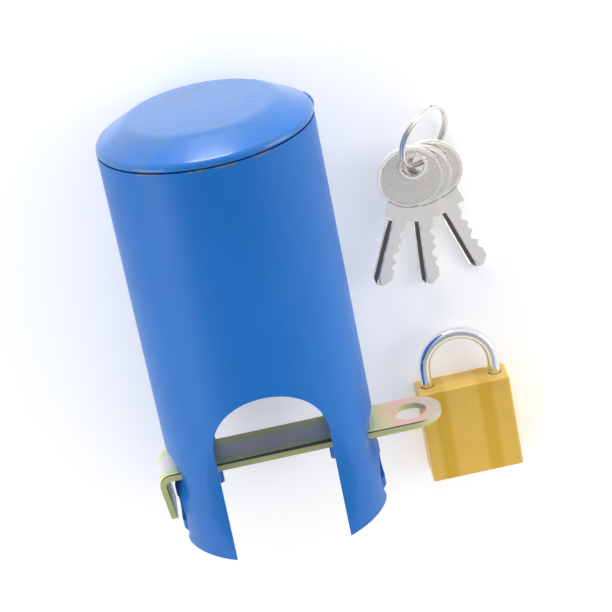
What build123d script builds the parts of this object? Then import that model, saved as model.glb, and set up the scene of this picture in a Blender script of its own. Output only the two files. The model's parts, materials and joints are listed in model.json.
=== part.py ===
from build123d import *
import os
from math import asin, cos, degrees, radians, sin, sqrt

# Trailer coupler lock, lying on its side with its padlock and keys beside it. Millimetres.
# Origin: the centre of the tube's open end. +Y runs along the tube to its cap, +X along the
# locking bar to its eye, and +Z is up. The ground is one tube radius below the origin.

os.makedirs("parts", exist_ok=True)

# Steel tube and its welded cap
tube_od = 76.0
tube_wall = 2.0
tube_length = 148.8
arch_width = 41.2
arch_crown = 63.1
cross_hole_d = 10.0
cross_hole_y = 8.5
cap_sheet = 2.5
cap_rim = 2.2
cap_height = 10.0
cap_flat_d = 50.0
cap_dome = 0.9
cap_rim_round = 1.5
tack_length = 9.0
tack_width = 6.0
tack_height = 1.6
tack_round = 1.0
tack_angles = (-12.0, -62.0, -128.0)

# Flat locking bar, bent at one end and with a padlock eye at the other
bar_y = 26.4
bar_width = 21.8
bar_thick = 2.2
bar_edge = 0.5
slot_side_gap = 1.1
slot_face_gap = 1.0
slot_corner = 2.0
eye_reach = 62.6
eye_hole_d = 12.2
eye_hole_web = 5.3
hook_gap = 2.8
hook_lean = 1.6
hook_length = 18.8
hook_bend = 2.0
hook_corner = 5.0

# Padlock
pad_width = 35.0
pad_height = 37.5
pad_thick = 13.0
pad_edge = 0.9
pad_from_tube = 19.0
pad_top_y = 20.2
rod_d = 4.4
rod_gap = 0.3
rod_spread = 26.0
loop_clear = 17.0
shackle_travel = 11.5
toe_depth = 11.0
heel_bottom = 10.0
heel_foot = 1.5
flat_depth = 1.0
stop_pin_d = 2.0
stop_gap = 0.2
spring_room = 4.2
latch_d = 4.4
latch_bore_d = 4.8
latch_travel = 2.0
latch_gap = 0.4
latch_above_toe = 5.2
latch_length = 14.0
latch_round = 0.6
latch_slot_depth = 2.0
latch_bore_end = 9.5
bore_plug_length = 1.6
cross_pin_length = 11.0
cross_pin_back = 0.3
plug_d = 10.0
plug_gap = 0.08
plug_length = 18.8
plug_recess = 0.2
rose_d = 11.8
rose_depth = 0.5
keyway_width = 2.4
keyway_height = 7.6
groove_y = 17.3
groove_width = 1.9
groove_depth = 1.0
groove_pin_d = 1.5
tail_d = 2.0
tail_gap = 0.3
tail_reach = 1.5
tail_bore_d = 5.6
pin_d = 2.6
pin_gap = 0.05
pin_first = 4.5
pin_pitch = 3.3
key_pin_lengths = (3.3, 2.7, 3.1, 2.5)
shear_gap = 0.2
driver_length = 4.0
pin_spring_length = 5.0
spring_wire = 0.35
heavy_wire = 0.6
spring_end_gap = 0.55

# Keys and their split ring
key_thick = 2.0
key_gap = 0.1
bow_d = 24.0
bow_below_hole = 4.5
key_hole_d = 8.4
key_length = 56.4
neck_width = 11.2
neck_end = 21.6
blade_width = 7.2
blade_shift = 0.9
tip_slope = 3.0
cut_depths = (1.4, 0.8, 1.7, 1.0)
cut_pitch = 4.4
cut_first = 5.8
cut_flat = 0.6
warding_width = 1.0
warding_from_edge = 0.6
warding_depth = 0.5
key_yaws = (-22.0, -2.0, 18.5)
ring_wire = 1.3
ring_round = 0.4
ring_od = 24.4
ring_x = 76.2
ring_y = 119.5
ring_heading = 31.0
ring_lean = 46.0
key_lift = 4.0

# Worked out from the sizes above
tube_r = tube_od / 2
tube_inner_r = tube_r - tube_wall
ground = -tube_r
arch_r = arch_width / 2
arch_spring_y = arch_crown - arch_r
bar_near = bar_y - bar_thick / 2
bar_far = bar_y + bar_thick / 2
hook_inner = -(tube_r + hook_gap)
hook_outer = hook_inner - bar_thick
eye_centre = eye_reach - bar_width / 2
eye_hole_x = eye_reach - eye_hole_web - eye_hole_d / 2

pad_x = tube_r + pad_from_tube + pad_width / 2
pad_y = pad_top_y - pad_height
pad_z = ground + pad_thick / 2
leg_x = rod_spread / 2
rod_r = rod_d / 2
rod_bore_r = rod_r + rod_gap
toe_end = pad_height - toe_depth
latch_at = toe_end + latch_above_toe
latch_nose = -(leg_x - rod_r - latch_gap)
latch_back = latch_nose + latch_length
notch_depth = latch_travel - latch_gap + rod_gap
notch_half = latch_d / 2 + rod_gap
plug_r = plug_d / 2
plug_end = plug_recess + plug_length
tail_side = latch_travel / 2
stop_pin_at = heel_bottom + heel_foot + shackle_travel + stop_pin_d / 2 + stop_gap
stop_pin_x = leg_x - rod_r + flat_depth - stop_gap - stop_pin_d / 2
chamber_end = -pad_width / 2
plug_side = -plug_r
driver_start = plug_side - shear_gap
spring_start = driver_start - driver_length - shear_gap
spring_end = spring_start - pin_spring_length
cover_start = spring_end - shear_gap
cover_end = chamber_end + shear_gap

ring_r = (ring_od - ring_wire) / 2
lean_cos = cos(radians(ring_lean))
lean_sin = sin(radians(ring_lean))
ring_up = ring_od / 2 * lean_cos + ring_wire * lean_sin
key_tip = key_length - (bow_d / 2 - bow_below_hole)
key_tilt = degrees(asin((key_lift - key_gap) / key_tip))


def across_tube(y):
    """The plane square to the tube's axis, y from its open end. Its own y points down."""
    return Plane(origin=(0, y, 0), x_dir=(1, 0, 0), z_dir=(0, 1, 0))


def across_pad(along, side=0.0, up=0.0):
    """The plane square to the padlock's length, along from its bottom. Its own y points down."""
    origin = (pad_x + side, pad_y + along, pad_z + up)
    return Plane(origin=origin, x_dir=(1, 0, 0), z_dir=(0, 1, 0))


def sideways(side, along):
    """The plane facing +X in the padlock, with its own x along the padlock."""
    return Plane(origin=(pad_x + side, pad_y + along, pad_z), x_dir=(0, 1, 0), z_dir=(1, 0, 0))


def through_pad(side, along, up=0.0):
    """The plane facing +Z in the padlock, at a place measured from its bottom centre."""
    return Plane(origin=(pad_x + side, pad_y + along, pad_z + up), x_dir=(1, 0, 0), z_dir=(0, 0, 1))


# ---- tube: round steel tube, arched open on two sides, slotted for the bar ----
with BuildPart() as tube:
    with BuildSketch(across_tube(0)):
        Circle(tube_r)
        Circle(tube_inner_r, mode=Mode.SUBTRACT)
    extrude(amount=tube_length)
    # the arch is open from the mouth to a round crown, front and back
    with BuildSketch(Plane.XY.offset(-tube_od)):
        with Locations((0, arch_spring_y / 2)):
            Rectangle(arch_width, arch_spring_y)
        with Locations((0, arch_spring_y)):
            Circle(arch_r)
    extrude(amount=2 * tube_od, mode=Mode.SUBTRACT)
    # the bar's slots and the cross holes go through both legs
    with BuildSketch(Plane.YZ.offset(-tube_od)):
        with Locations((bar_y, 0)):
            slot_across = bar_thick + 2 * slot_face_gap
            RectangleRounded(slot_across, bar_width + 2 * slot_side_gap, slot_corner)
        with Locations((cross_hole_y, 0)):
            Circle(cross_hole_d / 2)
    extrude(amount=2 * tube_od, mode=Mode.SUBTRACT)
tube.part.label = "tube"
export_step(tube.part, "parts/tube.step")

# ---- end_cap: dished steel cap, as wide as the tube, on its far end ----
with BuildPart() as end_cap:
    with BuildSketch(Plane.XY):
        with BuildLine():
            Polyline(
                (0, tube_length),
                (tube_r, tube_length),
                (tube_r, tube_length + cap_rim),
                (cap_flat_d / 2, tube_length + cap_height - cap_dome),
            )
            ThreePointArc(
                (cap_flat_d / 2, tube_length + cap_height - cap_dome),
                (cap_flat_d / 4, tube_length + cap_height - cap_dome / 4),
                (0, tube_length + cap_height),
            )
            Line((0, tube_length + cap_height), (0, tube_length))
        make_face()
    revolve(axis=Axis.Y)
    # the hollow under the dish, one sheet thickness in
    with BuildSketch(Plane.XY):
        Polygon(
            (0, tube_length),
            (tube_inner_r, tube_length),
            (tube_inner_r, tube_length + cap_rim - cap_sheet / 3),
            (cap_flat_d / 2 - cap_sheet / 3, tube_length + cap_height - cap_dome - cap_sheet),
            (0, tube_length + cap_height - cap_dome - cap_sheet),
            align=None,
        )
    revolve(axis=Axis.Y, mode=Mode.SUBTRACT)
    rim_edges = end_cap.edges().filter_by(GeomType.CIRCLE).filter_by(
        lambda e: e.center().Y > tube_length + cap_rim / 2 and e.radius > cap_flat_d / 2 - 0.1
        and abs(e.radius - tube_inner_r) > 0.1
    )
    fillet(rim_edges, radius=cap_rim_round)
end_cap.part.label = "end_cap"
export_step(end_cap.part, "parts/end_cap.step")

# ---- cap_weld_tacks: three weld blobs that bridge the seam ----
with BuildPart() as cap_weld_tacks:
    for angle in tack_angles:
        out = Vector(cos(radians(angle)), 0, sin(radians(angle)))
        seat = Plane(
            origin=out * (tube_r - tack_height) + Vector(0, tube_length, 0),
            x_dir=out.cross(Vector(0, 1, 0)),
            z_dir=out,
        )
        with BuildSketch(seat):
            Ellipse(tack_length / 2, tack_width / 2)
        extrude(amount=2 * tack_height)
    crests = cap_weld_tacks.edges().filter_by(
        lambda e: e.center().X ** 2 + e.center().Z ** 2 > tube_r**2
    )
    fillet(crests, radius=tack_round)
    with BuildSketch(across_tube(tube_length - tack_length)):
        Circle(tube_r)
    extrude(amount=2 * tack_length, mode=Mode.SUBTRACT)
cap_weld_tacks.part.label = "cap_weld_tacks"
export_step(cap_weld_tacks.part, "parts/cap_weld_tacks.step")

# ---- locking_bar: flat strip on edge, with a bent hook and a round padlock eye ----
with BuildPart() as locking_bar:
    with BuildSketch(Plane.XY):
        Polygon(
            (eye_reach, bar_near),
            (eye_reach, bar_far),
            (hook_outer, bar_far),
            (hook_outer + hook_lean, bar_far - hook_length),
            (hook_inner + hook_lean, bar_far - hook_length),
            (hook_inner, bar_near),
            align=None,
        )
    extrude(amount=bar_width / 2, both=True)
    uprights = locking_bar.edges().filter_by(Axis.Z)
    inner_corner = uprights.sort_by_distance((hook_inner, bar_near, 0))[0]
    outer_corner = uprights.sort_by_distance((hook_outer, bar_far, 0))[0]
    fillet(inner_corner, radius=hook_bend)
    fillet(outer_corner, radius=hook_bend + bar_thick)
    fillet(locking_bar.edges().filter_by(Axis.X).group_by(Axis.Y)[0], radius=hook_corner)
    # the eye's end is a half round, and its hole takes the shackle
    with BuildSketch(across_tube(bar_near - bar_thick)):
        with Locations((eye_centre + bar_width / 2, 0)):
            Rectangle(bar_width, 2 * bar_width)
        with Locations((eye_centre, 0)):
            Circle(bar_width / 2, mode=Mode.SUBTRACT)
        with Locations((eye_hole_x, 0)):
            Circle(eye_hole_d / 2)
    extrude(amount=3 * bar_thick, mode=Mode.SUBTRACT)
    # rolled edges along the strip
    fillet(locking_bar.edges().filter_by(Axis.X), radius=bar_edge)
locking_bar.part.label = "locking_bar"
export_step(locking_bar.part, "parts/locking_bar.step")

# ---- padlock_body: solid block, bored for shackle, latch, plug and pin stacks ----
with BuildPart() as padlock_body:
    with BuildSketch(across_pad(0)):
        Rectangle(pad_width, pad_thick)
    extrude(amount=pad_height)
    fillet(padlock_body.edges(), radius=pad_edge)
    with BuildSketch(across_pad(toe_end - stop_gap, side=-leg_x)):
        Circle(rod_bore_r)
    extrude(amount=pad_height, mode=Mode.SUBTRACT)
    with BuildSketch(across_pad(heel_bottom - spring_room, side=leg_x)):
        Circle(rod_bore_r)
    extrude(amount=pad_height, mode=Mode.SUBTRACT)
    with BuildSketch(sideways(-pad_width, latch_at)):
        Circle(latch_bore_d / 2)
    extrude(amount=pad_width + latch_bore_end, mode=Mode.SUBTRACT)
    with BuildSketch(across_pad(-rose_depth)):
        Circle(plug_r + plug_gap)
    extrude(amount=rose_depth + plug_end + tail_gap, mode=Mode.SUBTRACT)
    with BuildSketch(across_pad(-rose_depth)):
        Circle(rose_d / 2)
    extrude(amount=2 * rose_depth, mode=Mode.SUBTRACT)
    with BuildSketch(across_pad(plug_end)):
        Circle(tail_bore_d / 2)
    extrude(amount=latch_at - plug_end, mode=Mode.SUBTRACT)
    for row in range(len(key_pin_lengths)):
        with BuildSketch(sideways(-pad_width, pin_first + row * pin_pitch)):
            Circle(pin_d / 2 + pin_gap)
        extrude(amount=pad_width - plug_r, mode=Mode.SUBTRACT)
    for side, along, pin in (
        (stop_pin_x, stop_pin_at, stop_pin_d),
        (plug_r, groove_y, groove_pin_d),
    ):
        with BuildSketch(through_pad(side, along, -pad_thick)):
            Circle(pin / 2)
        extrude(amount=pad_thick / 2 + cross_pin_back + cross_pin_length, mode=Mode.SUBTRACT)
padlock_body.part.label = "padlock_body"
export_step(padlock_body.part, "parts/padlock_body.step")

# ---- shackle: round rod with a short notched toe and a long heel with a stop flat ----
with BuildPart() as shackle:
    crown_y = pad_height + loop_clear + rod_r - leg_x
    with BuildLine(through_pad(0, 0)):
        Line((-leg_x, toe_end), (-leg_x, crown_y))
        ThreePointArc((-leg_x, crown_y), (0, crown_y + leg_x), (leg_x, crown_y))
        Line((leg_x, crown_y), (leg_x, heel_bottom))
    with BuildSketch(across_pad(toe_end, side=-leg_x)):
        Circle(rod_r)
    sweep()
    with BuildSketch(through_pad(-leg_x + rod_r, latch_at)):
        Rectangle(2 * notch_depth, 2 * notch_half)
    extrude(amount=rod_d, both=True, mode=Mode.SUBTRACT)
    flat_bottom = heel_bottom + heel_foot
    flat_top = stop_pin_at + stop_pin_d / 2 + rod_gap
    with BuildSketch(through_pad(leg_x - rod_r, (flat_bottom + flat_top) / 2)):
        Rectangle(2 * flat_depth, flat_top - flat_bottom)
    extrude(amount=rod_d, both=True, mode=Mode.SUBTRACT)
shackle.part.label = "shackle"
export_step(shackle.part, "parts/shackle.step")


def coil_spring(plane, length, outer_d, wire, turns):
    """A round-wire compression spring that starts at a plane and runs along its normal."""
    rise = length - 2 * spring_end_gap * wire
    with BuildPart() as spring:
        with BuildLine():
            coil = Helix(pitch=rise / turns, height=rise, radius=(outer_d - wire) / 2)
        with BuildSketch(Plane(origin=coil @ 0, z_dir=coil % 0)):
            Circle(wire / 2)
        sweep(is_frenet=True)
    return spring.part.moved(plane.offset(spring_end_gap * wire).location)


# ---- springs under the shackle's heel and behind the latch ----
shackle_spring = coil_spring(
    across_pad(heel_bottom - spring_room + stop_gap, side=leg_x),
    spring_room - 2 * stop_gap, rod_d - stop_gap, heavy_wire, 4,
)
shackle_spring.label = "shackle_spring"
export_step(shackle_spring, "parts/shackle_spring.step")

latch_spring = coil_spring(
    sideways(latch_back + stop_gap, latch_at),
    latch_bore_end - latch_back - 2 * stop_gap, latch_d - stop_gap, heavy_wire, 5,
)
latch_spring.label = "latch_spring"
export_step(latch_spring, "parts/latch_spring.step")

# ---- shackle_stop_pin: keeps the heel in the body when the padlock is open ----
with BuildPart() as shackle_stop_pin:
    with BuildSketch(through_pad(stop_pin_x, stop_pin_at, -pad_thick / 2 + cross_pin_back)):
        Circle(stop_pin_d / 2)
    extrude(amount=cross_pin_length)
shackle_stop_pin.part.label = "shackle_stop_pin"
export_step(shackle_stop_pin.part, "parts/shackle_stop_pin.step")

# ---- latch_bolt: slides into the toe's notch, moved by the plug's tail ----
with BuildPart() as latch_bolt:
    with BuildSketch(sideways(latch_nose, latch_at)):
        Circle(latch_d / 2)
    extrude(amount=latch_length)
    fillet(latch_bolt.edges().group_by(Axis.X)[0], radius=latch_round)
    with BuildSketch(through_pad(tail_side, latch_at - latch_d / 2)):
        Rectangle(tail_d + 2 * tail_gap, 2 * latch_slot_depth)
    extrude(amount=latch_d, both=True, mode=Mode.SUBTRACT)
latch_bolt.part.label = "latch_bolt"
export_step(latch_bolt.part, "parts/latch_bolt.step")

# ---- latch_bore_plug: closes the side hole that the latch goes in by ----
with BuildPart() as latch_bore_plug:
    with BuildSketch(sideways(-pad_width / 2 + shear_gap, latch_at)):
        Circle(latch_bore_d / 2)
    extrude(amount=bore_plug_length)
latch_bore_plug.part.label = "latch_bore_plug"
export_step(latch_bore_plug.part, "parts/latch_bore_plug.step")

# ---- lock_plug: turns with the key; keyway, pin holes, groove and an eccentric tail ----
with BuildPart() as lock_plug:
    with BuildSketch(across_pad(plug_recess)):
        Circle(plug_r)
    extrude(amount=plug_length)
    with BuildSketch(across_pad(groove_y - groove_width / 2)):
        Circle(plug_d)
        Circle(plug_r - groove_depth, mode=Mode.SUBTRACT)
    extrude(amount=groove_width, mode=Mode.SUBTRACT)
    with BuildSketch(across_pad(plug_recess)):
        SlotOverall(keyway_height, keyway_width)
    extrude(amount=groove_y - 2 * plug_recess - groove_width, mode=Mode.SUBTRACT)
    for row in range(len(key_pin_lengths)):
        with BuildSketch(sideways(-plug_d, pin_first + row * pin_pitch)):
            Circle(pin_d / 2 + pin_gap)
        extrude(amount=plug_d, mode=Mode.SUBTRACT)
    with BuildSketch(across_pad(plug_end, side=tail_side, up=-tail_side)):
        Circle(tail_d / 2)
    extrude(amount=latch_at - latch_d / 2 + tail_reach - plug_end)
lock_plug.part.label = "lock_plug"
export_step(lock_plug.part, "parts/lock_plug.step")

# ---- plug_retaining_pin: sits in the plug's groove ----
with BuildPart() as plug_retaining_pin:
    with BuildSketch(through_pad(plug_r, groove_y, -pad_thick / 2 + cross_pin_back)):
        Circle(groove_pin_d / 2)
    extrude(amount=cross_pin_length)
plug_retaining_pin.part.label = "plug_retaining_pin"
export_step(plug_retaining_pin.part, "parts/plug_retaining_pin.step")

# ---- pin stacks: key pin in the plug; driver pin, spring and cover in the body ----
for row, key_pin_length in enumerate(key_pin_lengths):
    along = pin_first + row * pin_pitch
    for name, start, length in (
        ("key_pin", plug_side + shear_gap, key_pin_length),
        ("driver_pin", driver_start - driver_length, driver_length),
        ("chamber_cover", cover_end, cover_start - cover_end),
    ):
        with BuildPart() as stack_piece:
            with BuildSketch(sideways(start, along)):
                Circle(pin_d / 2)
            extrude(amount=length)
        stack_piece.part.label = f"{name}_{row + 1}"
        export_step(stack_piece.part, f"parts/{name}_{row + 1}.step")
    pin_spring = coil_spring(
        sideways(spring_end, along), pin_spring_length, pin_d - shear_gap, spring_wire, 6
    )
    pin_spring.label = f"pin_spring_{row + 1}"
    export_step(pin_spring, f"parts/pin_spring_{row + 1}.step")

# ---- keys: three alike, stacked on the ring and fanned out ----
heading = Vector(sin(radians(ring_heading)), cos(radians(ring_heading)), 0)
leftward = Vector(-heading.Y, heading.X, 0)
deck_y = Vector(0, cos(radians(key_tilt)), sin(radians(key_tilt)))
deck_up = Vector(0, -sin(radians(key_tilt)), cos(radians(key_tilt)))
ring_foot = Vector(ring_x, ring_y, ground)
hub = ring_foot + Vector(0, 0, ring_up)
for number, yaw in enumerate(key_yaws, 1):
    # each hole is centred on the ring's wire where the wire passes that key's level
    level = len(key_yaws) - number
    height = key_lift + level * (key_thick + key_gap)
    drop = height + key_thick / 2 - ring_up
    back = sqrt(ring_r**2 - (drop / lean_cos) ** 2)
    hole = ring_foot - heading * back + leftward * drop * lean_sin / lean_cos
    if number == 1:
        first_y = hole.Y
    hole += Vector(0, 0, height + (hole.Y - first_y) * sin(radians(key_tilt)))
    turned = Vector(1, 0, 0) * cos(radians(yaw)) + deck_y * sin(radians(yaw))
    flat = Plane(origin=hole, x_dir=turned, z_dir=deck_up)
    with BuildPart() as key:
        with BuildSketch(flat):
            with Locations((0, -bow_below_hole)):
                Circle(bow_d / 2)
            with Locations((0, -(bow_below_hole + neck_end) / 2)):
                Rectangle(neck_width, neck_end - bow_below_hole)
            with Locations((-blade_shift, -(neck_end + key_tip - tip_slope) / 2)):
                Rectangle(blade_width, key_tip - tip_slope - neck_end)
            Polygon(
                (-blade_shift - blade_width / 2, -key_tip + tip_slope),
                (-blade_shift - blade_width / 6, -key_tip),
                (-blade_shift + blade_width / 2, -key_tip + tip_slope),
                align=None,
            )
            Circle(key_hole_d / 2, mode=Mode.SUBTRACT)
            for cut, depth in enumerate(cut_depths):
                at = -neck_end - cut_first - cut * cut_pitch
                edge = -blade_shift + blade_width / 2
                Polygon(
                    (edge + key_gap, at + depth + cut_flat),
                    (edge - depth, at + cut_flat),
                    (edge - depth, at - cut_flat),
                    (edge + key_gap, at - depth - cut_flat),
                    align=None,
                    mode=Mode.SUBTRACT,
                )
        extrude(amount=key_thick)
        # the warding groove runs along the uncut edge
        with BuildSketch(flat.offset(key_thick - warding_depth)):
            groove_x = -blade_shift - blade_width / 2 + warding_from_edge + warding_width / 2
            with Locations((groove_x, -(neck_end + key_tip) / 2)):
                Rectangle(warding_width, key_tip - neck_end)
        extrude(amount=key_thick, mode=Mode.SUBTRACT)
    key.part.label = f"key_{number}"
    export_step(key.part, f"parts/key_{number}.step")

# ---- key_ring: split ring of two turns side by side, leaning through the key holes ----
with BuildPart() as key_ring:
    face_on = leftward * lean_cos - Vector(0, 0, lean_sin)
    with BuildSketch(Plane(origin=hub - face_on * ring_wire, x_dir=heading, z_dir=face_on)):
        Circle(ring_od / 2)
        Circle(ring_od / 2 - ring_wire, mode=Mode.SUBTRACT)
    extrude(amount=2 * ring_wire)
    fillet(key_ring.edges(), radius=ring_round)
key_ring.part.label = "key_ring"
export_step(key_ring.part, "parts/key_ring.step")
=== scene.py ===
"""Trailer coupler lock: a blue steel tube with a flat zinc-plated bar, a yellow padlock and keys."""

import json
import math

import bmesh
import bpy
import numpy as np
from mathutils import Matrix, Vector


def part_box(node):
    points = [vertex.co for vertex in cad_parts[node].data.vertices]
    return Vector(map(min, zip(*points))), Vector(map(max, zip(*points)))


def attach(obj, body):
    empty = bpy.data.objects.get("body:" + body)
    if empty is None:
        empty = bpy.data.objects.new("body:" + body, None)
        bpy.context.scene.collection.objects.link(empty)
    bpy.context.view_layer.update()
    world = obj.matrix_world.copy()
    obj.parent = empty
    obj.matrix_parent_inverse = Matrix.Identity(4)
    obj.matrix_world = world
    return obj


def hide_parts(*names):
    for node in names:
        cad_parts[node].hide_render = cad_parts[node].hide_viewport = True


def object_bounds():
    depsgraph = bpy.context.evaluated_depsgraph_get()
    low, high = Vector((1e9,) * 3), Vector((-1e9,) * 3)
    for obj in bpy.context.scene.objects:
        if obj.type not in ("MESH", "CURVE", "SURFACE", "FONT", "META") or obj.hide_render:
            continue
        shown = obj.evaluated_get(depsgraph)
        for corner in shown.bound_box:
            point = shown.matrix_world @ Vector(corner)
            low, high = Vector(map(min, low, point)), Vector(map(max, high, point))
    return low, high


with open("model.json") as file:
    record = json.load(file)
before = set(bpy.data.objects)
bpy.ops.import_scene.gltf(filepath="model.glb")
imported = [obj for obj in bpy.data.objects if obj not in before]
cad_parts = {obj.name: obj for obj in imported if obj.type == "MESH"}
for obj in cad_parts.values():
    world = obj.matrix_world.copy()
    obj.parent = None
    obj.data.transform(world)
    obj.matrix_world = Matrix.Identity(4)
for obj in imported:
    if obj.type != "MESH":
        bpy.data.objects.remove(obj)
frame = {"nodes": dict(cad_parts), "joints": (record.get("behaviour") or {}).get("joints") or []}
cad_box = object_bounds()

MM = 0.001


def corners(node):
    """A CAD node's lowest and highest corner, in millimetres."""
    low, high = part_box(node)
    return np.array(low) / MM, np.array(high) / MM


def unit(v):
    """The vectors of an array, each at length one."""
    return v / np.linalg.norm(v, axis=-1, keepdims=True)


# ---------------------------------------------------------------- mesh making


def piece(name, points, faces, material, sharp=35.0, bevel=0.0, steps=2):
    """A mesh from points in millimetres, smooth but for edges sharper than an angle, and bevelled."""
    mesh = bpy.data.meshes.new(name)
    mesh.from_pydata((points * MM).tolist(), [], [tuple(f) for f in faces])
    tidy = bmesh.new()
    tidy.from_mesh(mesh)
    bmesh.ops.remove_doubles(tidy, verts=tidy.verts, dist=2e-7)
    bmesh.ops.dissolve_degenerate(tidy, edges=tidy.edges, dist=1e-7)
    bmesh.ops.recalc_face_normals(tidy, faces=tidy.faces)
    tidy.to_mesh(mesh)
    tidy.free()
    mesh.shade_smooth()
    mesh.set_sharp_from_angle(angle=math.radians(sharp))
    mesh.materials.append(material)
    made = bpy.data.objects.new(name, mesh)
    bpy.context.scene.collection.objects.link(made)
    if bevel:
        edge = made.modifiers.new("edges", "BEVEL")
        edge.width = bevel * MM
        edge.segments = steps
        edge.limit_method = "ANGLE"
        edge.angle_limit = math.radians(sharp)
        edge.harden_normals = True
    return made


def grid_faces(rows, cols, start=0, around=False):
    """The quads of a grid of points, closed around its columns where asked."""
    i = np.arange(rows * cols).reshape(rows, cols) + start
    if around:
        i = np.concatenate([i, i[:, :1]], 1)
    return np.stack([i[:-1, :-1], i[1:, :-1], i[1:, 1:], i[:-1, 1:]], -1).reshape(-1, 4)


def slab(name, patches, material, **finish):
    """A closed plate from pairs of matching grids, front and back: grids join where their points
    meet, and each free edge of the front is walled to the same edge of the back."""
    front = np.concatenate([f.reshape(-1, 3) for f, _ in patches])
    back = np.concatenate([b.reshape(-1, 3) for _, b in patches])
    starts = np.cumsum([0] + [f.shape[0] * f.shape[1] for f, _ in patches])
    quads = np.concatenate([grid_faces(*f.shape[:2], s) for (f, _), s in zip(patches, starts)])
    _, first, same = np.unique(np.round(front, 3), axis=0, return_index=True, return_inverse=True)
    quads = same.reshape(-1)[quads]
    front, back = front[first], back[first]
    edges = np.concatenate([quads[:, [k, (k + 1) % 4]] for k in range(4)])
    edges = edges[edges[:, 0] != edges[:, 1]]
    ends, count = np.unique(np.sort(edges, 1), axis=0, return_counts=True)
    a, b = ends[count == 1].T
    n = len(front)
    walls = np.stack([a, b, b + n, a + n], 1)
    faces = [list(dict.fromkeys(q)) for q in np.concatenate([quads, quads[:, ::-1] + n, walls]).tolist()]
    faces = [q for q in faces if len(q) > 2]
    return piece(name, np.concatenate([front, back]), faces, material, **finish)


def tube_along(path, across, up, radius, round_steps=20):
    """A round rod: a circle in the plane of two unit vectors at each point of a path, capped."""
    turn = np.linspace(0, 2 * np.pi, round_steps, endpoint=False)[None, :, None]
    radius = np.broadcast_to(np.asarray(radius, float), len(path))[:, None, None]
    ring = path[:, None] + radius * (np.cos(turn) * across[:, None] + np.sin(turn) * up[:, None])
    points = np.concatenate([ring.reshape(-1, 3), path[:1], path[-1:]])
    faces = grid_faces(len(path), round_steps, around=True).tolist()
    last, n = (len(path) - 1) * round_steps, len(path) * round_steps
    for k in range(round_steps):
        after = (k + 1) % round_steps
        faces.append([k, after, n])
        faces.append([last + after, last + k, n + 1])
    return points, faces


def rounded_path(points, radii, steps=8):
    """A polyline with each inner corner replaced by a quadratic curve that starts and ends a
    radius away from it."""
    points = np.array(points, float)
    out = [points[:1]]
    t = np.linspace(0, 1, steps)[:, None]
    for before, at, after, r in zip(points[:-2], points[1:-1], points[2:], radii):
        start, end = at + unit(before - at) * r, at + unit(after - at) * r
        out.append((1 - t) ** 2 * start + 2 * t * (1 - t) * at + t**2 * end)
    return np.concatenate(out + [points[-1:]])


def square_loop(n_side, n_up):
    """Points round the unit square from its lower left corner, as (across, along) rows."""
    s = np.linspace(-1, 1, n_side)
    u = np.linspace(-1, 1, n_up)
    one = np.ones
    return np.concatenate([
        np.stack([s, -one(n_side)], 1)[:-1], np.stack([one(n_up), u], 1)[:-1],
        np.stack([s[::-1], one(n_side)], 1)[:-1], np.stack([-one(n_up), u[::-1]], 1),
    ])


def squircle(loop, power):
    """Square loop points pulled in to a superellipse of a power: 2 is a circle."""
    return loop / (np.abs(loop) ** power).sum(1, keepdims=True) ** (1 / power)


# ---------------------------------------------------------------- materials

SEAM_Y = corners("end_cap")[0][1]
FLAT_STARTS, FLAT_FULL = 6.5, 9.0
SEAM_CHIP_HALF = 0.5
SHADE_HALF_LENGTH = 21.6
EYE_COLOUR_FROM, EYE_COLOUR_LENGTH = 36.0, 27.0
EYE_COLOUR_EDGE = 36.5
GROOVE_MIDDLE, GROOVE_SHADE_HALF = 1.2, 0.75


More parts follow.
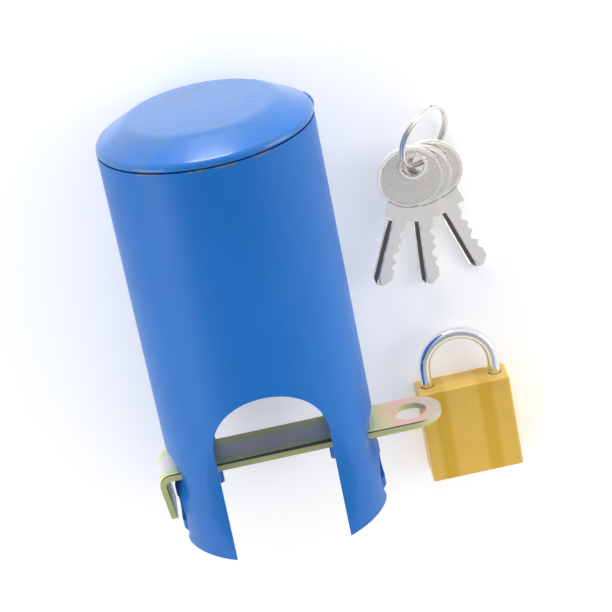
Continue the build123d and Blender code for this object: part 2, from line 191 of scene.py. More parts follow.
class Finish:
    """A material's node tree, with short calls for the nodes that the finishes use."""

    def __init__(self, name, color, rough, **sockets):
        self.material = bpy.data.materials.new(name)
        self.material.use_nodes = True
        self.tree = self.material.node_tree
        self.shader = self.tree.nodes["Principled BSDF"]
        self.shader.inputs["Base Color"].default_value = (*color, 1)
        self.shader.inputs["Roughness"].default_value = rough
        for socket, value in sockets.items():
            self.shader.inputs[socket.replace("_", " ")].default_value = value
        self.place = self.tree.nodes.new("ShaderNodeTexCoord").outputs["Object"]

    def node(self, kind, **values):
        """A shader node of a kind, with its settings."""
        made = self.tree.nodes.new("ShaderNode" + kind)
        for key, value in values.items():
            setattr(made, key, value)
        return made

    def link(self, out, into):
        self.tree.links.new(out, into)

    def stretched(self, scale):
        """Object coordinates, scaled along each axis."""
        mapping = self.node("Mapping")
        self.link(self.place, mapping.inputs["Vector"])
        mapping.inputs["Scale"].default_value = scale
        return mapping.outputs["Vector"]

    def noise(self, scale, detail=3.0, rough=0.55, at=None, distortion=0.0):
        """Smooth noise in the object's own space, or in a given one."""
        made = self.node("TexNoise")
        self.link(at or self.place, made.inputs["Vector"])
        made.inputs["Scale"].default_value = scale
        made.inputs["Detail"].default_value = detail
        made.inputs["Roughness"].default_value = rough
        made.inputs["Distortion"].default_value = distortion
        return made.outputs["Fac"]

    def cells(self, scale):
        """The distance to the nearest of a scatter of points."""
        made = self.node("TexVoronoi", feature="F1")
        self.link(self.place, made.inputs["Vector"])
        made.inputs["Scale"].default_value = scale
        return made.outputs["Distance"]

    def ramp(self, value, *stops):
        """A colour ramp through (place, colour or grey) stops."""
        made = self.node("ValToRGB")
        self.link(value, made.inputs["Fac"])
        points = made.color_ramp.elements
        while len(points) < len(stops):
            points.new(0.5)
        for point, (at, shade) in zip(points, stops):
            point.position = at
            point.color = (*(shade if isinstance(shade, tuple) else (shade,) * 3), 1)
        return made.outputs["Color"]

    def mix(self, amount, a, b, how="MIX"):
        """Two colours blended by an amount; each may be a value or another node's output."""
        made = self.node("Mix", data_type="RGBA", blend_type=how)
        for value, into in ((amount, made.inputs[0]), (a, made.inputs[6]), (b, made.inputs[7])):
            if isinstance(value, bpy.types.NodeSocket):
                self.link(value, into)
            elif into.type == "RGBA":
                into.default_value = (*value, 1)
            else:
                into.default_value = value
        return made.outputs[2]

    def math(self, how, a, b=0.0):
        """One arithmetic step on two values, each a number or another node's output."""
        made = self.node("Math", operation=how)
        for value, into in ((a, made.inputs[0]), (b, made.inputs[1])):
            if isinstance(value, bpy.types.NodeSocket):
                self.link(value, into)
            else:
                into.default_value = value
        return made.outputs[0]

    def axis(self, which):
        """One object coordinate, in metres."""
        made = self.node("SeparateXYZ")
        self.link(self.place, made.inputs[0])
        return made.outputs["XYZ".index(which)]

    def bump(self, height, strength, distance):
        """Raises the surface's shading by a height."""
        made = self.node("Bump")
        self.link(height, made.inputs["Height"])
        made.inputs["Strength"].default_value = strength
        made.inputs["Distance"].default_value = distance
        self.link(made.outputs["Normal"], self.shader.inputs["Normal"])

    def color(self, value):
        """Drives the base colour."""
        self.link(value, self.shader.inputs["Base Color"])

    def rough(self, value):
        """Drives the roughness."""
        self.link(value, self.shader.inputs["Roughness"])


def blue_paint(name, worn):
    """Thick blue gloss paint: slow colour drift, dust specks, a soft orange peel and chips at the
    cap's seam. Where worn it is glossier, greyer in patches on the flat and darker on the flank;
    the whole flat is also greyed evenly as a painted reflection of the pale floor."""
    f = Finish(name, (0.002, 0.13, 0.47), 0.42, Coat_Weight=0.7 if worn else 0.18,
               Coat_Roughness=0.14 if worn else 0.3, Specular_IOR_Level=0.22)
    drift = f.ramp(f.noise(16, 4), (0.3, (0.001, 0.125, 0.46)), (0.7, (0.003, 0.15, 0.53)))
    specks = f.ramp(f.cells(420), (0.0, 1.0), (0.045, 0.0))
    fewer = f.ramp(f.noise(160, 2), (0.56, 0.0), (0.6, 1.0))
    dots = f.mix(1.0, specks, fewer, "MULTIPLY")
    color = f.mix(f.math("MULTIPLY", dots, 0.3), drift, (0.3, 0.45, 0.75))
    if worn:
        patches = f.ramp(f.noise(42, 5, 0.65, distortion=0.8), (0.5, 0.0), (0.68, 1.0))
        flat = f.ramp(f.axis("Y"), ((SEAM_Y + FLAT_STARTS) * MM, 0.0), ((SEAM_Y + FLAT_FULL) * MM, 1.0))
        # greys the flat: worn patches over an even grey that is a painted reflection
        grey_wear_and_painted_reflection = f.math("MULTIPLY", f.math("ADD", f.math("MULTIPLY", patches, 0.35), 0.3), flat)
        color = f.mix(grey_wear_and_painted_reflection, color, (0.17, 0.24, 0.33))
        edge = f.math("MULTIPLY", f.math("SUBTRACT", 1.0, flat), patches)
        color = f.mix(f.math("MULTIPLY", edge, 0.3), color, (0.1, 0.13, 0.12))
        f.rough(f.mix(patches, (0.26, 0.26, 0.26), (0.5, 0.5, 0.5)))
    else:
        f.rough(f.ramp(f.noise(45, 5, 0.6), (0.3, 0.36), (0.75, 0.5)))
    from_seam = f.math("ABSOLUTE", f.math("SUBTRACT", f.axis("Y"), SEAM_Y * MM))
    seam = f.math("LESS_THAN", from_seam, SEAM_CHIP_HALF * MM)
    chips = f.math("MULTIPLY", seam, f.math("GREATER_THAN", f.noise(150, 3), 0.54))
    f.color(f.mix(chips, color, (0.12, 0.16, 0.22)))
    f.bump(f.noise(240, 2), 0.05, 0.0004)
    return f.material


def zinc_plate():
    """Yellow chromate over zinc: lilac grey along the middle of the strip, green and straw towards
    its edges, salmon round the eye, and a painted dark line of shade along the rolled upper corner."""
    f = Finish("yellow_zinc", (0.62, 0.55, 0.4), 0.36, Metallic=0.2)
    out = f.math("DIVIDE", f.math("ABSOLUTE", f.axis("Z")), BAR_HALF * MM)
    cloud = f.noise(55, 4, 0.6, f.stretched((0.4, 1.2, 1.2)), 1.0)
    wander = f.math("ADD", out, f.math("MULTIPLY", f.math("SUBTRACT", cloud, 0.5), 1.1))
    strip = f.ramp(
        wander, (0.1, (0.78, 0.7, 0.7)), (0.38, (0.72, 0.76, 0.66)), (0.6, (0.6, 0.76, 0.4)),
        (0.8, (0.84, 0.76, 0.34)),
    )
    along = f.math("ADD", f.axis("X"), f.math("MULTIPLY", f.math("SUBTRACT", cloud, 0.5), 0.012))
    eye = f.ramp(
        f.math("DIVIDE", f.math("SUBTRACT", along, EYE_COLOUR_FROM * MM), EYE_COLOUR_LENGTH * MM),
        (0.0, (0.55, 0.64, 0.3)), (0.2, (0.78, 0.6, 0.34)), (0.45, (0.8, 0.48, 0.4)),
        (0.8, (0.66, 0.46, 0.38)), (1.0, (0.5, 0.5, 0.34)),
    )
    at_eye = f.math("GREATER_THAN", f.axis("X"), EYE_COLOUR_EDGE * MM)
    face = f.mix(at_eye, strip, eye)
    high = f.math("DIVIDE", f.axis("Z"), BAR_HALF * MM)
    in_arch = f.math("LESS_THAN", f.math("ABSOLUTE", f.axis("X")), SHADE_HALF_LENGTH * MM)
    painted_line_widening = f.math("MULTIPLY", in_arch, f.math("ADD", f.math("MULTIPLY", f.axis("X"), 3.0), 0.1))
    # corner: a painted dark line of shade along the rolled upper corner, widened inside the arch
    corner = f.math("GREATER_THAN", f.math("ADD", high, painted_line_widening), 0.9)
    facing = f.node("SeparateXYZ")
    f.link(f.node("NewGeometry").outputs["Normal"], facing.inputs[0])
    edge = f.ramp(f.math("ABSOLUTE", facing.outputs["Z"]), (0.5, 0.0), (0.85, 1.0))
    rim = f.mix(cloud, (0.34, 0.44, 0.14), (0.7, 0.68, 0.34))
    # edges get the rim colour; the faces get the chromate colours with the painted shade line near black
    f.color(f.mix(edge, f.mix(corner, face, (0.05, 0.05, 0.04)), rim))
    f.rough(f.ramp(f.noise(170, 4, 0.6), (0.3, 0.28), (0.75, 0.46)))
    f.bump(f.noise(700, 3, 0.6, f.stretched((0.2, 1, 1))), 0.08, 0.0003)
    return f.material


def yellow_lacquer(centre, width):
    """Satin yellow lacquer on the padlock, with two darker upright bands of painted shade where the body's
    side flats turn from the light.
    """
    f = Finish("yellow_lacquer", (0.74, 0.48, 0.035), 0.36, Coat_Weight=0.25, Coat_Roughness=0.2)
    across = f.math("DIVIDE", f.math("ABSOLUTE", f.math("SUBTRACT", f.axis("X"), centre)), width / 2)
    # two darker upright bands: painted shade for the body's side flats
    painted_facet_shade = f.ramp(
        across, (0.3, (0.77, 0.48, 0.075)), (0.4, (0.68, 0.4, 0.02)),
        (0.6, (0.68, 0.4, 0.02)), (0.7, (0.77, 0.48, 0.075)),
    )
    wear = f.ramp(f.noise(90, 5), (0.35, 0.92), (0.65, 1.0))
    facing = f.node("SeparateXYZ")
    f.link(f.node("NewGeometry").outputs["Normal"], facing.inputs[0])
    bottom = f.ramp(f.math("MULTIPLY", facing.outputs["Y"], -1.0), (0.55, 0.0), (0.75, 1.0))
    f.color(f.mix(bottom, f.mix(1.0, painted_facet_shade, wear, "MULTIPLY"), (0.72, 0.68, 0.58)))
    f.bump(f.noise(520, 3), 0.12, 0.0004)
    return f.material


def polished(name, color, rough, grain, stretch=(1, 1, 1), depth=0.1):
    """Bright plated metal with fine polishing marks."""
    f = Finish(name, color, rough, Metallic=1.0)
    f.rough(f.ramp(f.noise(60, 4), (0.3, rough * 0.8), (0.75, rough * 1.5)))
    f.bump(f.noise(grain, 3, 0.6, f.stretched(stretch)), depth, 0.0002)
    return f.material


def key_finish(number):
    """Bright nickel, with fine diagonal lines in the field between a key's rims, and painted dark shade in
    the blade's groove and on its walls.
    """
    f = Finish(f"nickel_key_{number}", (0.9, 0.88, 0.84), 0.24, Metallic=0.55)
    hole, x_dir, y_dir, _ = key_place(number)
    middle = (hole - BOW_DROP * y_dir) * MM
    reach = f.node("VectorMath", operation="DISTANCE")
    f.link(f.place, reach.inputs[0])
    reach.inputs[1].default_value = middle
    eye = f.node("VectorMath", operation="DISTANCE")
    f.link(f.place, eye.inputs[0])
    eye.inputs[1].default_value = hole * MM
    inside = f.math("LESS_THAN", reach.outputs["Value"], (BOW_R - 1.0) * MM)
    outside = f.math("GREATER_THAN", eye.outputs["Value"], (KEY_HOLE_R + 1.2) * MM)
    field = f.math("MULTIPLY", inside, outside)
    lines = f.node("TexWave", wave_type="BANDS", bands_direction="DIAGONAL")
    f.link(f.place, lines.inputs["Vector"])
    lines.inputs["Scale"].default_value = 520
    lines.inputs["Distortion"].default_value = 1.5
    lines.inputs["Detail Scale"].default_value = 1.5
    knurl = f.math("MULTIPLY", field, lines.outputs["Fac"])
    across = f.node("VectorMath", operation="DOT_PRODUCT")
    f.link(f.place, across.inputs[0])
    across.inputs[1].default_value = x_dir
    side = f.math("SUBTRACT", across.outputs["Value"], float(hole @ x_dir) * MM)
    from_edge = f.math("ADD", side, (BLADE_HALF + BLADE_SHIFT) * MM)
    from_groove = f.math("ABSOLUTE", f.math("SUBTRACT", from_edge, GROOVE_MIDDLE * MM))
    # the groove and its walls are painted near black as shade
    groove_painted_shade = f.math("LESS_THAN", from_groove, GROOVE_SHADE_HALF * MM)
    blade = f.math("GREATER_THAN", eye.outputs["Value"], (NECK_END + 1) * MM)
    line_shade = f.mix(knurl, (0.84, 0.82, 0.78), (0.58, 0.55, 0.5))
    plain_with_groove_shade = f.mix(f.math("MULTIPLY", groove_painted_shade, blade), (0.92, 0.9, 0.86), (0.12, 0.1, 0.09))
    f.color(f.mix(field, plain_with_groove_shade, line_shade))
    f.rough(f.ramp(f.noise(80, 4), (0.3, 0.18), (0.75, 0.34)))
    f.bump(knurl, 0.4, 0.0003)
    return f.material


def assign(node, material):
    """Gives a CAD node's own object a material in every slot."""
    slots = frame["nodes"][node].data.materials
    for k in range(len(slots)):
        slots[k] = material


# ---------------------------------------------------------------- tube

_, tube_high = corners("tube")
TUBE_R = tube_high[0]
TUBE_LENGTH = tube_high[1]
TUBE_WALL = 2.0
ARCH_HALF = 20.6
ARCH_CROWN = 63.1
ARCH_SPRING = ARCH_CROWN - ARCH_HALF
HOLE_Y = 8.5
HOLE_R = 5.0
BAR_Y = 26.4
SLOT_HALF_WIDE = 12.0
SLOT_HALF_HIGH = 2.1
HOLE_BAND_TOP = 17.0
SLOT_BAND_TOP = 37.0
EDGE_PRESS = 2.2
SLOT_DENT, SLOT_DENT_REACH = 1.9, 7.5
HOLE_DENT, HOLE_DENT_REACH = 3.4, 4.5


def edge_press(x, y):
    """How far the wall is pressed in beside the arch's straight sides: a flat bevel across a strip
    that is widest level with the bar and closes to a point at both ends of the leg."""
    share = np.clip(y / (ARCH_SPRING + 2), 0, 1)
    reach = 0.8 + 4.6 * np.sin(np.pi * share) ** 0.8
    side = np.abs(x) - ARCH_HALF
    inside = np.where(y < ARCH_SPRING + 2, np.clip(side / reach, 0, 1), 1)
    return EDGE_PRESS * np.sin(np.pi * share) * (1 - inside)


def leg_dents(y, z):
    """The dimples that punching left: round the slot, and above the cross hole on the upper side."""
    over_y = np.maximum(np.abs(y - BAR_Y) - SLOT_HALF_HIGH, 0)
    over_z = np.maximum(np.abs(z) - SLOT_HALF_WIDE, 0)
    slot = SLOT_DENT * np.clip(1 - (np.hypot(over_y, over_z * 0.8) / SLOT_DENT_REACH) ** 2, 0, 1) ** 2
    rim = np.maximum(np.hypot(y - HOLE_Y, z) - HOLE_R, 0)
    upper_side = 0.5 + 0.5 * np.tanh((z - 1.5) / 1.2)
    hole = HOLE_DENT * np.exp(-((rim / HOLE_DENT_REACH) ** 2)) * upper_side
    return slot + hole


def on_wall(x, y, z):
    """Points of the tube's wall with the pressed edges and dimples moved towards its axis."""
    z = z - np.sign(z) * edge_press(x, y)
    shrink = 1 - np.where(np.abs(x) > ARCH_HALF, leg_dents(y, z), 0) / np.hypot(x, z)
    return np.stack([x * shrink, y, z * shrink], -1)


def leg_patch(sign, radius, centre_y, half_y, hole_half, power, y_low, y_high):
    """One band of a leg: rows run from a hole's rim to the band's border, all round it."""
    border = square_loop(41, 17)
    edge_z = math.sqrt(radius**2 - ARCH_HALF**2)
    hole = squircle(border, power) * np.array([hole_half, half_y]) + np.array([0, centre_y])
    band_edge = np.stack([
        border[:, 0] * edge_z,
        np.interp(border[:, 1], [-1, 1], [y_low, y_high]),
    ], 1)
    t = (np.linspace(0, 1, 27) ** 1.15)[:, None, None]
    z, y = np.moveaxis(hole * (1 - t) + band_edge * t, -1, 0)
    return on_wall(sign * np.sqrt(radius**2 - z**2), y, z)


def upper_patch(radius):
    """The tube above the legs: straight rulings from the arches' and legs' edge to the far end,
    where the points are spread evenly."""
    leg_q = np.linspace(-1, 1, 41)
    rise = np.linspace(SLOT_BAND_TOP, ARCH_SPRING, 4)[1:-1]
    sweep = np.radians(np.linspace(0, 180, 49))
    arch_x = np.concatenate([np.full(2, ARCH_HALF), ARCH_HALF * np.cos(sweep), np.full(2, -ARCH_HALF)])
    arch_y = np.concatenate([rise, ARCH_SPRING + ARCH_HALF * np.sin(sweep), rise[::-1]])
    edge = math.acos(ARCH_HALF / radius)
    ends = np.radians(48)
    low_angle, low_y, top_angle = [], [], []
    for half in (0, 1):
        low_angle += [leg_q * edge + half * np.pi, np.arccos(arch_x / radius) + half * np.pi]
        low_y += [np.full(41, SLOT_BAND_TOP), arch_y]
        top_angle += [leg_q * ends + half * np.pi,
                      np.linspace(ends, np.pi - ends, len(arch_x) + 2)[1:-1] + half * np.pi]
    low_angle, low_y, top_angle = (np.concatenate(v) for v in (low_angle, low_y, top_angle))
    low_angle, low_y, top_angle = (np.append(v, v[0]) for v in (low_angle, low_y, top_angle))
    low_angle[-1] += 2 * np.pi
    top_angle[-1] += 2 * np.pi
    t = (np.linspace(0, 1, 46) ** 1.5)[:, None]
    angle = low_angle * (1 - t) + top_angle * t
    y = low_y * (1 - t) + TUBE_LENGTH * t
    return on_wall(radius * np.cos(angle), y, radius * np.sin(angle))


def make_tube(material):
    """The tube's wall, outside and inside, with slots and cross holes cut through the legs."""
    radii = (TUBE_R, TUBE_R - TUBE_WALL)
    patches = [tuple(upper_patch(r) for r in radii)]
    for sign in (1, -1):
        for centre, half_y, half_z, power, low, high in (
            (HOLE_Y, HOLE_R, HOLE_R, 2, 0, HOLE_BAND_TOP),
            (BAR_Y, SLOT_HALF_HIGH, SLOT_HALF_WIDE, 7, HOLE_BAND_TOP, SLOT_BAND_TOP),
        ):
            patches.append(tuple(
                leg_patch(sign, r, centre, half_y, half_z, power, low, high) for r in radii
            ))
    return slab("tube_shell", patches, material, sharp=40, bevel=0.35)


# ---------------------------------------------------------------- cap and weld

cap_low, cap_high = corners("end_cap")
CAP_SHEET = 2.5
SEAM_GAP = 0.35


def revolve(profile, segments=160):
    """A closed profile of (radius, y) points turned about the Y axis; points at no radius meet."""
    turn = np.linspace(0, 2 * np.pi, segments, endpoint=False)
    r, y = profile.T
    ring = np.stack([
        r[:, None] * np.cos(turn), np.broadcast_to(y[:, None], (len(r), segments)),
        r[:, None] * np.sin(turn),
    ], -1)
    return ring.reshape(-1, 3), grid_faces(len(r), segments, around=True).tolist()


def make_cap(material):
    """A dished cap: upright rim, rounded shoulder, broad flank and a slightly domed flat top."""
    base, top = cap_low[1] + SEAM_GAP, cap_high[1]
    flat = 26.0
    outer = rounded_path(
        [(TUBE_R - 0.5, base), (TUBE_R, base + 0.4), (TUBE_R, base + 2.2),
         (flat + 0.8, top - 1.1), (0, top)],
        (0.35, 1.6, 2.0), 9,
    )
    inner = rounded_path(
        [(0, top - CAP_SHEET), (flat - 3, top - CAP_SHEET - 0.9), (TUBE_R - TUBE_WALL, base + 1.2),
         (TUBE_R - TUBE_WALL, base), (TUBE_R - 0.5, base)],
        (3.0, 1.0, 0.3), 6,
    )
    points, faces = revolve(np.concatenate([outer, inner[:-1], outer[:1]]))
    wobble = 0.12 * np.sin(3 * np.arctan2(points[:, 2], points[:, 0]) + 0.7)
    points[:, 1] += wobble * np.clip(1 - np.hypot(points[:, 0], points[:, 2]) / TUBE_R, 0, 1)
    return piece("cap_dish", points, faces, material, sharp=50)


def make_weld(material):
    """Weld blobs over the seam: each is two or three low domes with a lumpy outline."""
    blobs, faces, start = [], [], 0
    lumps = ((-2.6, 0.5, 2.6, 2.3, 1.5), (0.3, -0.3, 3.1, 2.8, 1.9), (2.9, 0.4, 2.4, 2.2, 1.3))
    rows, cols = 20, 40
    u = np.linspace(0, 2 * np.pi, cols, endpoint=False)
    v = np.linspace(0, np.pi, rows)[:, None]
    for tack, angle in enumerate(np.radians((-12, -62, -128))):
        out = np.array([np.cos(angle), 0, np.sin(angle)])
        along = np.array([-np.sin(angle), 0, np.cos(angle)])
        for number, (side, rise, wide, high, thick) in enumerate(lumps):
            lumpy = 1 + 0.09 * np.sin(3 * u + tack + number) * np.sin(v) + 0.05 * np.sin(7 * u + number)
            across = wide * np.sin(v) * np.cos(u) * lumpy + side
            up = high * np.sin(v) * np.sin(u) * lumpy + rise
            proud = thick * np.cos(v) * np.ones_like(u)
            drop = TUBE_R - np.sqrt(TUBE_R**2 - across**2)
            centre = (TUBE_R - drop - 0.35 + proud)[..., None] * out
            blob = centre + across[..., None] * along + (TUBE_LENGTH + up)[..., None] * np.array([0, 1, 0])
            blobs.append(blob.reshape(-1, 3))
            faces += grid_faces(rows, cols, start, around=True).tolist()
            start += rows * cols
    return piece("weld_blobs", np.concatenate(blobs), faces, material, sharp=60)


# ---------------------------------------------------------------- locking bar

bar_low, bar_high = corners("locking_bar")
BAR_HALF = bar_high[2]
BAR_THICK = 2.2
HOOK_LEAN = 1.6
EYE_TIP = bar_high[0]
EYE_X = EYE_TIP - BAR_HALF
EYE_HOLE_X = 51.2
EYE_HOLE_R = 6.1
HOOK_X = bar_low[0] + BAR_THICK / 2
HOOK_TIP = bar_low[1]
BEND_R = 3.1


def bar_place(length, across, side):
    """A point of the strip: up the hook, round a quarter bend, then along +X, off the middle
    surface by a signed half thickness."""
    straight = BAR_Y - BEND_R - HOOK_TIP
    arc = BEND_R * np.pi / 2
    turn = np.clip((length - straight) / BEND_R, 0, np.pi / 2)
    x = HOOK_X + BEND_R * (1 - np.cos(turn)) + np.maximum(length - straight - arc, 0)
    y = HOOK_TIP + np.minimum(length, straight) + BEND_R * np.sin(turn)
    off = side * BAR_THICK / 2
    x, y = x - off * np.cos(turn), y + off * np.sin(turn)
    lean = HOOK_LEAN * np.clip((BAR_Y - BEND_R - y) / (BAR_Y - BEND_R - HOOK_TIP), 0, 1)
    return np.stack([x + lean, y, across + 0 * length], -1)


def make_bar(material):
    """The flat strip: a long grid up to the eye and a ring of quads round the eye's hole."""
    to_x = BAR_Y - BEND_R - HOOK_TIP + BEND_R * np.pi / 2 - (HOOK_X + BEND_R)
    corner = 4.0
    near = corner * (1 - np.cos(np.linspace(0, np.pi / 2, 9)))
    bend = np.linspace(BAR_Y - BEND_R - HOOK_TIP, BAR_Y - BEND_R - HOOK_TIP + BEND_R * np.pi / 2, 13)
    run = np.linspace(bend[-1], EYE_X - BAR_HALF + to_x, 40)
    length = np.concatenate([near, np.linspace(corner, bend[0], 8)[1:], bend[1:], run[1:]])[:, None]
    narrow = corner - np.sqrt(np.maximum(corner**2 - np.maximum(corner - length, 0) ** 2, 0))
    across = np.linspace(-1, 1, 17) * (BAR_HALF - narrow)
    side = np.linspace(EYE_X - BAR_HALF, EYE_X, 9)
    round_end = np.linspace(-np.pi / 2, np.pi / 2, 41)
    border = np.concatenate([
        np.stack([np.full(17, side[0]), np.linspace(-1, 1, 17)[::-1] * BAR_HALF], 1)[:-1],
        np.stack([side, np.full(9, -BAR_HALF)], 1)[:-1],
        np.stack([EYE_X + BAR_HALF * np.cos(round_end), BAR_HALF * np.sin(round_end)], 1)[:-1],
        np.stack([side[::-1], np.full(9, BAR_HALF)], 1),
    ])
    centre = np.array([EYE_HOLE_X, 0])
    hole = centre + EYE_HOLE_R * unit(border - centre)
    t = (np.linspace(0, 1, 9))[:, None, None]
    eye = hole * (1 - t) + border * t
    patches = [
        tuple(bar_place(length + 0 * across, across, s) for s in (1, -1)),
        tuple(bar_place(eye[..., 0] + to_x, eye[..., 1], s) for s in (1, -1)),
    ]
    return slab("bar_strip", patches, material, sharp=40, bevel=0.6, steps=3)


# ---------------------------------------------------------------- padlock

pad_low, pad_high = corners("padlock_body")
PAD_X, _, PAD_Z = (pad_low + pad_high) / 2
PAD_BOTTOM, PAD_TOP = pad_low[1], pad_high[1]
shackle_low, shackle_high = corners("shackle")
ROD_R = (shackle_high[2] - shackle_low[2]) / 2
LEG_X = (shackle_high[0] - shackle_low[0]) / 2 - ROD_R
TOE_DEPTH = 11.0
LATCH_AT = 31.7
NOTCH_DEPTH = 1.9
NOTCH_HALF = 2.5


def make_shackle(material):
    """The shackle's rod: two straight legs and a half circle, the toe's inner side cut by a flat
    notch, the toe's end tapered down to a flat tip and the other end cut flat."""
    crown = shackle_high[1] - ROD_R - LEG_X
    toe = PAD_TOP - TOE_DEPTH
    notch = PAD_BOTTOM + LATCH_AT
    left = np.concatenate([
        toe + ROD_R * 0.4 * (1 - np.cos(np.linspace(0, np.pi / 2, 6))), [notch - NOTCH_HALF - 0.01],
        np.linspace(notch - NOTCH_HALF, notch + NOTCH_HALF, 4), [notch + NOTCH_HALF + 0.01],
        np.linspace(notch + NOTCH_HALF + 1, crown, 8)[:-1],
    ])
    bend = np.linspace(np.pi, 0, 61)
    right = np.linspace(crown, shackle_low[1], 22)[1:]
    x = np.concatenate([np.full(len(left), -LEG_X), LEG_X * np.cos(bend), np.full(len(right), LEG_X)])
    y = np.concatenate([left, crown + LEG_X * np.sin(bend), right])
    path = np.stack([PAD_X + x, y, np.full(len(x), PAD_Z)], 1)
    across = np.concatenate([np.tile([1.0, 0, 0], (len(left), 1)),
                             np.stack([-np.cos(bend), -np.sin(bend), 0 * bend], 1),
                             np.tile([-1.0, 0, 0], (len(right), 1))])
    up = np.tile([0, 0, 1.0], (len(x), 1))
    radius = np.full(len(x), ROD_R)
    radius[:6] = ROD_R * (0.72 + 0.28 * np.sin(np.linspace(0, np.pi / 2, 6)))
    points, faces = tube_along(path, across, up, radius, 36)
    limit = PAD_X - LEG_X + ROD_R - NOTCH_DEPTH
    inside = (np.abs(points[:, 1] - notch) < NOTCH_HALF + 0.001) & (points[:, 0] < PAD_X)
    points[inside, 0] = np.minimum(points[inside, 0], limit)
    return piece("shackle_rod_bright", points, faces, material, sharp=50)


# ---------------------------------------------------------------- keys and ring

KEY_THICK = 2.0
BOW_R = 12.0
BOW_DROP = 4.5
KEY_HOLE_R = 4.2
KEY_TIP = 48.9
NECK_HALF = 5.6
NECK_END = 21.6
BLADE_HALF = 3.6
BLADE_SHIFT = 0.9
TIP_SLOPE = 3.0
GROOVE_START, GROOVE_END = 0.06, 0.27
GROOVE_DEPTH = 0.5
FIELD_DEPTH = 0.22
BLADE_LINES = np.array([0, 0.07, 0.1, 0.23, 0.26, 0.34, 0.42, 0.5, 0.6, 0.7, 0.8, 0.9, 1.0])
CUT_DEPTHS = (1.4, 0.8, 1.7, 1.0)
CUT_FIRST, CUT_PITCH, CUT_FLAT = 5.8, 4.4, 0.6
TIP_LEFT, TIP_RIGHT = 2.3, 4.6
RING_R = 12.2
RING_WIRE = 1.3
RING_HEADING = math.radians(31)
RING_LEAN = math.radians(46)


def key_patches():
    """Flat grids of (x, y, recess) for one key: the bow round its hole, the neck, the blade."""
    turn = np.radians(np.linspace(-90, 270, 121))
    rim = np.stack([BOW_R * np.cos(turn), BOW_R * np.sin(turn) - BOW_DROP], 1)
    hole = KEY_HOLE_R * unit(rim)
    rows = np.array([0, 0.12, 0.2, 0.25, 0.3, 0.4, 0.5, 0.6, 0.7, 0.8, 0.88, 0.92, 0.96, 1.0])
    bow = hole * (1 - rows[:, None, None]) + rim * rows[:, None, None]
    from_hole = np.hypot(bow[..., 0], bow[..., 1]) - KEY_HOLE_R
    from_rim = BOW_R - np.hypot(bow[..., 0], bow[..., 1] + BOW_DROP)
    field = np.clip((from_hole - 0.85) / 0.35, 0, 1) * np.clip((from_rim - 0.55) / 0.35, 0, 1)
    shoulder = np.clip((bow[..., 1] + BOW_DROP + BOW_R * 0.62) / 0.8, 0, 1)
    bow = np.concatenate([bow, (FIELD_DEPTH * field * shoulder)[..., None]], -1)
    cols = np.concatenate([[-NECK_HALF], (BLADE_LINES * 2 - 1) * BLADE_HALF - BLADE_SHIFT,
                           [NECK_HALF]])
    top_y = -BOW_DROP - np.sqrt(BOW_R**2 - cols**2) + 0.6
    down = np.linspace(0, 1, 10)[:, None]
    neck = np.stack([cols + 0 * down, top_y * (1 - down) - NECK_END * down, 0 * cols + 0 * down], -1)
    at = -NECK_END - CUT_FIRST - CUT_PITCH * np.arange(4)
    deep = np.array(CUT_DEPTHS)
    ys = np.stack([at + deep + CUT_FLAT, at + CUT_FLAT, at - CUT_FLAT, at - deep - CUT_FLAT], 1).ravel()
    cut = np.stack([0 * deep, deep, deep, 0 * deep], 1).ravel()
    ys = np.concatenate([[-NECK_END], ys, [-KEY_TIP + TIP_SLOPE, -KEY_TIP]])
    cut = np.concatenate([[0], cut, [0, TIP_RIGHT]])
    left = np.concatenate([np.zeros(len(ys) - 1), [TIP_LEFT]])
    # lines up to the groove's wall keep their place from the uncut edge; the rest follow the cuts
    by_groove = BLADE_LINES < GROOVE_END
    last_kept = BLADE_LINES[by_groove].max()
    edge_l = (-BLADE_HALF - BLADE_SHIFT + left)[:, None]
    kept = edge_l + BLADE_LINES * 2 * BLADE_HALF
    wall = kept[:, by_groove].max(1, keepdims=True)
    rest = np.clip((BLADE_LINES - last_kept) / (1 - last_kept), 0, 1)
    edge_r = np.maximum(BLADE_HALF - BLADE_SHIFT - cut[:, None], wall + 0.1)
    x = np.where(by_groove, kept, wall * (1 - rest) + edge_r * rest)
    groove = np.where((BLADE_LINES > GROOVE_START) & by_groove, GROOVE_DEPTH, 0.0) * np.ones_like(x)
    groove[0] = 0
    blade = np.stack([x, ys[:, None] + 0 * x, groove], -1)
    return bow, neck, blade


def key_place(number):
    """A key's hole centre on its underside, and its sideways, lengthways and upward directions."""
    joint = next(j for j in frame["joints"] if j["name"] == f"key_{number}_swing")
    up = unit(np.array(joint["axis"], float))
    hole = np.array(joint["pos_m"], float) / MM
    yaw = math.radians((-22.0, -2.0, 18.5)[number - 1])
    across = np.array([1.0, 0, 0])
    along = np.cross(up, across)
    x_dir = across * math.cos(yaw) + along * math.sin(yaw)
    return hole, x_dir, np.cross(up, x_dir), up


def make_key(number, material):
    """A flat key in its place, its top face with the recessed field and the groove."""
    hole, x_dir, y_dir, up = key_place(number)
    bow, neck, blade = key_patches()

    def placed(grid, face):
        lift = np.where(face > 0, KEY_THICK - grid[..., 2], grid[..., 2] * (grid[..., 1] > -NECK_END))
        return hole + grid[..., :1] * x_dir + grid[..., 1:2] * y_dir + lift[..., None] * up

    patches = [tuple(placed(g, s) for s in (1, -1)) for g in (bow, neck, blade)]
    return slab(f"key_{number}_plate", patches, material, sharp=30, bevel=0.18)


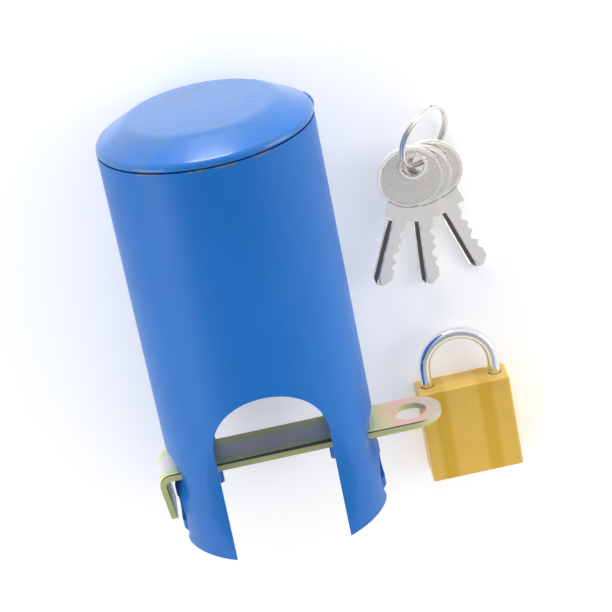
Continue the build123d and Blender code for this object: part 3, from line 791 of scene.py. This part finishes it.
def make_ring(material):
    """A split ring: a round wire wound twice, its two ends lying side by side."""
    low, high = corners("key_ring")
    centre = (low + high) / 2
    along = np.array([math.sin(RING_HEADING), math.cos(RING_HEADING), 0])
    left = np.array([-along[1], along[0], 0])
    upright = np.array([0, 0, 1.0])
    up = upright * math.cos(RING_LEAN) + left * math.sin(RING_LEAN)
    axis = left * math.cos(RING_LEAN) - upright * math.sin(RING_LEAN)
    turn = np.linspace(0, 4 * np.pi - 0.25, 240) + 0.4
    part = np.linspace(0, 1, len(turn))
    step = 0.5 + 0.5 * np.tanh((part - 0.5) * 14)
    shift = (step - 0.5) * RING_WIRE * 0.98
    out = np.cos(turn)[:, None] * along + np.sin(turn)[:, None] * up
    path = centre + (RING_R - RING_WIRE / 2) * out + shift[:, None] * axis
    wire = np.full(len(turn), RING_WIRE / 2 * 0.98)
    return piece("key_ring_wire", *tube_along(path, out, np.tile(axis, (len(turn), 1)), wire, 20),
                 material, sharp=60)


# ---------------------------------------------------------------- the object

paint = blue_paint("blue_paint", False)
cap_paint = blue_paint("cap_paint", True)
zinc = zinc_plate()
lacquer = yellow_lacquer((PAD_X - 1.2) * MM, (pad_high[0] - pad_low[0]) * MM)
chrome = polished("chrome", (0.82, 0.83, 0.85), 0.08, 300, (1, 0.2, 1), 0.05)
nickel = polished("nickel", (0.78, 0.75, 0.7), 0.22, 900, (1, 1, 1), 0.14)
brass = polished("brass", (0.72, 0.6, 0.36), 0.32, 700, (1, 1, 1), 0.1)
steel = polished("steel", (0.55, 0.55, 0.56), 0.35, 600)

for make, material, body, node, slot in (
    (make_tube, paint, "shell", "tube", "blue_paint"),
    (make_cap, cap_paint, "shell", "end_cap", "blue_paint"),
    (make_weld, paint, "shell", "cap_weld_tacks", "weld_paint"),
    (make_bar, zinc, "bar", "locking_bar", "yellow_zinc"),
    (make_shackle, chrome, "shackle_rod", "shackle", "chrome"),
    (make_ring, nickel, "ring", "key_ring", "nickel"),
):
    made = make(material)
    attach(made, body)
    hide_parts(node)

for number in (1, 2, 3):
    made = make_key(number, key_finish(number))
    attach(made, f"key_{number}_body")
    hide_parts(f"key_{number}")

for name in frame["nodes"]:
    if name.startswith(("key_pin", "driver_pin", "chamber_cover", "lock_plug")):
        assign(name, brass)
    elif name.startswith(("padlock_body", "latch_bore_plug")):
        assign(name, lacquer)
    elif name.startswith(("pin_spring", "latch", "plug_retaining", "shackle_s")):
        assign(name, steel)

# ---------------------------------------------------------------- stage, camera, lights

GROUND = cad_box[0][2]

floor_mesh = bpy.data.meshes.new("floor")
half = 3.0
floor_corners = [(-half, -half), (half, -half), (half, half), (-half, half)]
floor_mesh.from_pydata([(x, y, GROUND) for x, y in floor_corners], [], [(0, 1, 2, 3)])
floor_finish = Finish(
    "floor", (0.93, 0.93, 0.93), 0.8, Emission_Color=(1, 1, 1, 1), Emission_Strength=0.2
)
floor_mesh.materials.append(floor_finish.material)
floor = bpy.data.objects.new("floor", floor_mesh)
bpy.context.scene.collection.objects.link(floor)

CAMERA_TARGET = Vector((21.9, 76.8, 0)) * MM
CAMERA_DISTANCE = 843.9 * MM
CAMERA_LEAN = math.radians(23.77)
CAMERA_SIDE = math.radians(-1.5)
CAMERA_ROLL = math.radians(-11.51)
outward = Vector((
    math.sin(CAMERA_SIDE) * math.cos(CAMERA_LEAN), math.sin(CAMERA_LEAN),
    math.cos(CAMERA_SIDE) * math.cos(CAMERA_LEAN),
))
right = (-outward).cross(Vector((0, 1, 0))).normalized()
above = right.cross(-outward)
rolled_right = right * math.cos(CAMERA_ROLL) + above * math.sin(CAMERA_ROLL)
rolled_up = above * math.cos(CAMERA_ROLL) - right * math.sin(CAMERA_ROLL)
camera_data = bpy.data.cameras.new("camera")
camera_data.lens = 140.0
camera_data.sensor_width = 36.0
camera = bpy.data.objects.new("camera", camera_data)
camera.matrix_world = Matrix.Translation(CAMERA_TARGET + outward * CAMERA_DISTANCE) @ Matrix((
    rolled_right, rolled_up, outward)).transposed().to_4x4()
bpy.context.scene.collection.objects.link(camera)
bpy.context.scene.camera = camera


def soft_light(name, place, target, size, power):
    """A square area light that faces a target."""
    data = bpy.data.lights.new(name, "AREA")
    data.size = size
    data.energy = power
    made = bpy.data.objects.new(name, data)
    toward = Vector(target) - Vector(place)
    made.matrix_world = Matrix.Translation(place) @ toward.to_track_quat("-Z", "Y").to_matrix().to_4x4()
    bpy.context.scene.collection.objects.link(made)


middle = (0.02, 0.07, 0.0)
soft_light("left", (-1.2, -0.1, 0.55), middle, 0.8, 4.5)
soft_light("right", (1.3, 0.2, 0.4), middle, 0.7, 5)
soft_light("far", (0.0, 0.7, 0.06), middle, 0.25, 2.2)
world = bpy.data.worlds.new("world")
world.use_nodes = True
sky = world.node_tree
direction = sky.nodes.new("ShaderNodeTexCoord")
height = sky.nodes.new("ShaderNodeSeparateXYZ")
shade = sky.nodes.new("ShaderNodeValToRGB")
sky.links.new(direction.outputs["Generated"], height.inputs[0])
sky.links.new(height.outputs["Z"], shade.inputs["Fac"])
sky.links.new(shade.outputs["Color"], sky.nodes["Background"].inputs[0])
shade.color_ramp.elements[0].position = 0.55
shade.color_ramp.elements[0].color = (1, 0.99, 0.98, 1)
shade.color_ramp.elements[1].position = 0.95
shade.color_ramp.elements[1].color = (0.4, 0.4, 0.41, 1)
sky.nodes["Background"].inputs[1].default_value = 1.05
bpy.context.scene.world = world
bpy.context.scene.view_settings.view_transform = "Standard"
